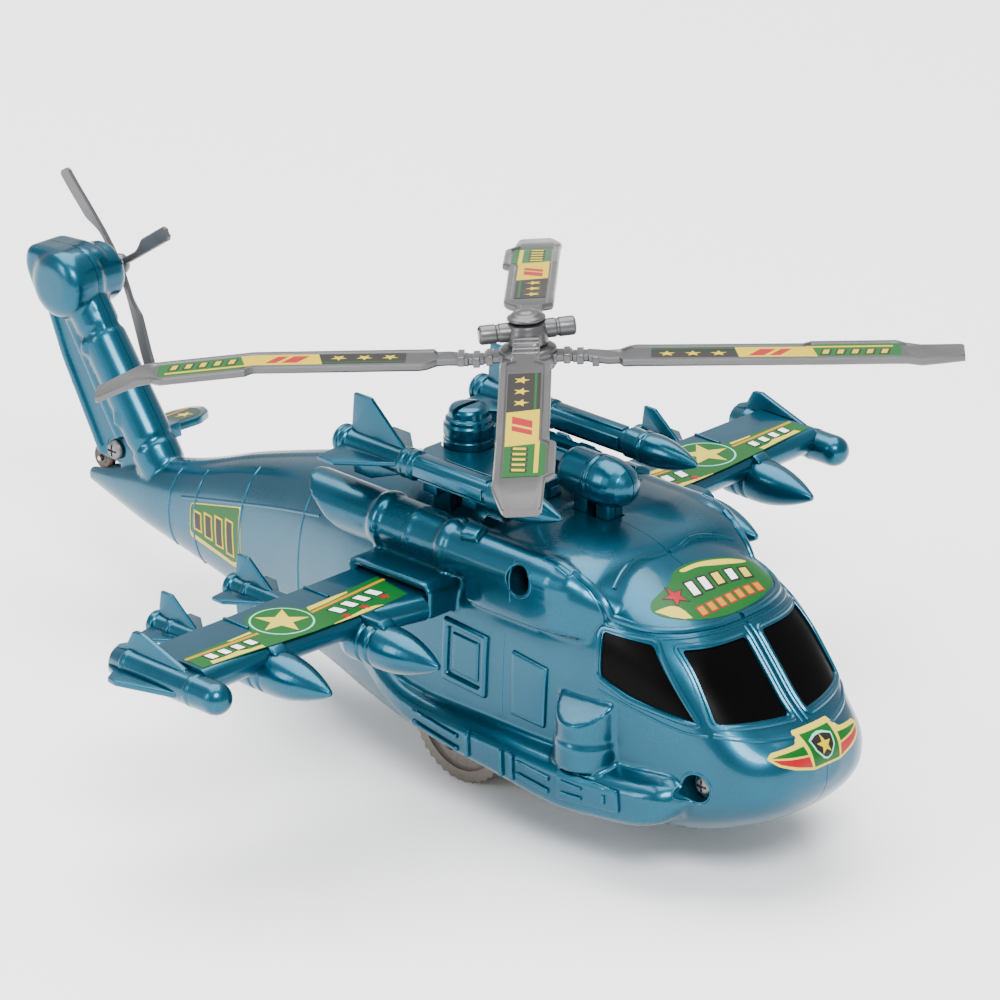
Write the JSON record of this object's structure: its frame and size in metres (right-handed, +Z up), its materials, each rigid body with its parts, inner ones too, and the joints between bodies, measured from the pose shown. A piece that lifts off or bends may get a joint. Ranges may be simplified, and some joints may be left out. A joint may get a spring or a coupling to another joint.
{
  "type": "toy helicopter",
  "caption": "Friction-drive plastic toy helicopter with plug-in wings, underwing stores, roof rack, free-turning rotors and ridged drive wheels.",
  "frame": {"origin": "middle of the object's bounding box, on the ground plane that the drive wheels touch", "axes": "+Y from the nose to the tail, +X to port, +Z up; the picture sees the starboard side and the nose"},
  "size_m": [0.246, 0.2993, 0.127],
  "materials": {
    "teal_plastic": "pearl gloss",
    "grey_plastic": "silver-grey satin",
    "black_plastic": "high gloss",
    "wheel_plastic": "matte",
    "white_plastic": "matte",
    "brown_plastic": "matte",
    "steel_wire": "bright",
    "flywheel_iron": "plain"
  },
  "bodies": {
    "airframe": {"body_shell_starboard": "teal_plastic", "body_shell_port": "teal_plastic", "windshield_starboard": "black_plastic", "windshield_port": "black_plastic", "side_window_starboard": "black_plastic", "side_window_port": "black_plastic", "screw_side": "steel_wire", "screw_nose": "steel_wire", "screw_tail": "steel_wire", "wing_starboard": "teal_plastic", "wing_port": "teal_plastic", "stabiliser_port": "teal_plastic", "weapons_rack": "teal_plastic", "roof_missile_starboard": "teal_plastic", "roof_missile_port": "teal_plastic", "roof_turret": "teal_plastic", "nose_pod_starboard": "teal_plastic", "nose_pod_port": "teal_plastic", "mast_tube": "teal_plastic", "rotor_pin": "steel_wire", "tail_rotor_pin": "steel_wire", "tail_wheel_pin": "steel_wire", "idler_pin": "steel_wire", "flywheel_pin": "steel_wire", "motor_case_starboard": "white_plastic", "motor_case_port": "white_plastic"},
    "main_rotor_body": {"main_rotor_lower": "grey_plastic", "main_rotor_upper": "grey_plastic", "rotor_cap": "grey_plastic"},
    "tail_rotor_body": {"tail_rotor": "grey_plastic"},
    "tail_wheel_body": {"tail_wheel": "brown_plastic"},
    "drive_axle_body": {"drive_axle": "steel_wire", "drive_wheel_starboard": "wheel_plastic", "drive_wheel_port": "wheel_plastic", "axle_gear": "white_plastic"},
    "idler_body": {"idler_gear": "white_plastic"},
    "flywheel_body": {"flywheel": "flywheel_iron"}
  },
  "joints": [
    {"name": "main_rotor_spin", "type": "hinge", "parent": "airframe", "child": "main_rotor_body", "pos_m": [0, -0.04625, 0.1184], "axis": [0, 0.0837, 0.9965], "continuous": true},
    {"name": "tail_rotor_spin", "type": "hinge", "parent": "airframe", "child": "tail_rotor_body", "pos_m": [0.016, 0.12445, 0.091], "axis": [1, 0, 0], "continuous": true},
    {"name": "tail_wheel_spin", "type": "hinge", "parent": "airframe", "child": "tail_wheel_body", "pos_m": [0, 0.11405, 0.0422], "axis": [1, 0, 0], "continuous": true},
    {"name": "drive_axle_spin", "type": "hinge", "parent": "airframe", "child": "drive_axle_body", "pos_m": [0, -0.03915, 0.0172], "axis": [1, 0, 0], "continuous": true},
    {"name": "idler_spin", "type": "hinge", "parent": "airframe", "child": "idler_body", "pos_m": [0, -0.05289, 0.02088], "axis": [1, 0, 0], "continuous": true},
    {"name": "flywheel_spin", "type": "hinge", "parent": "airframe", "child": "flywheel_body", "pos_m": [0, -0.06522, 0.028], "axis": [1, 0, 0], "continuous": true}
  ],
  "couplings": [
    {"joint": "idler_spin", "follows": "drive_axle_spin", "ratio": -3},
    {"joint": "flywheel_spin", "follows": "drive_axle_spin", "ratio": 9}
  ]
}
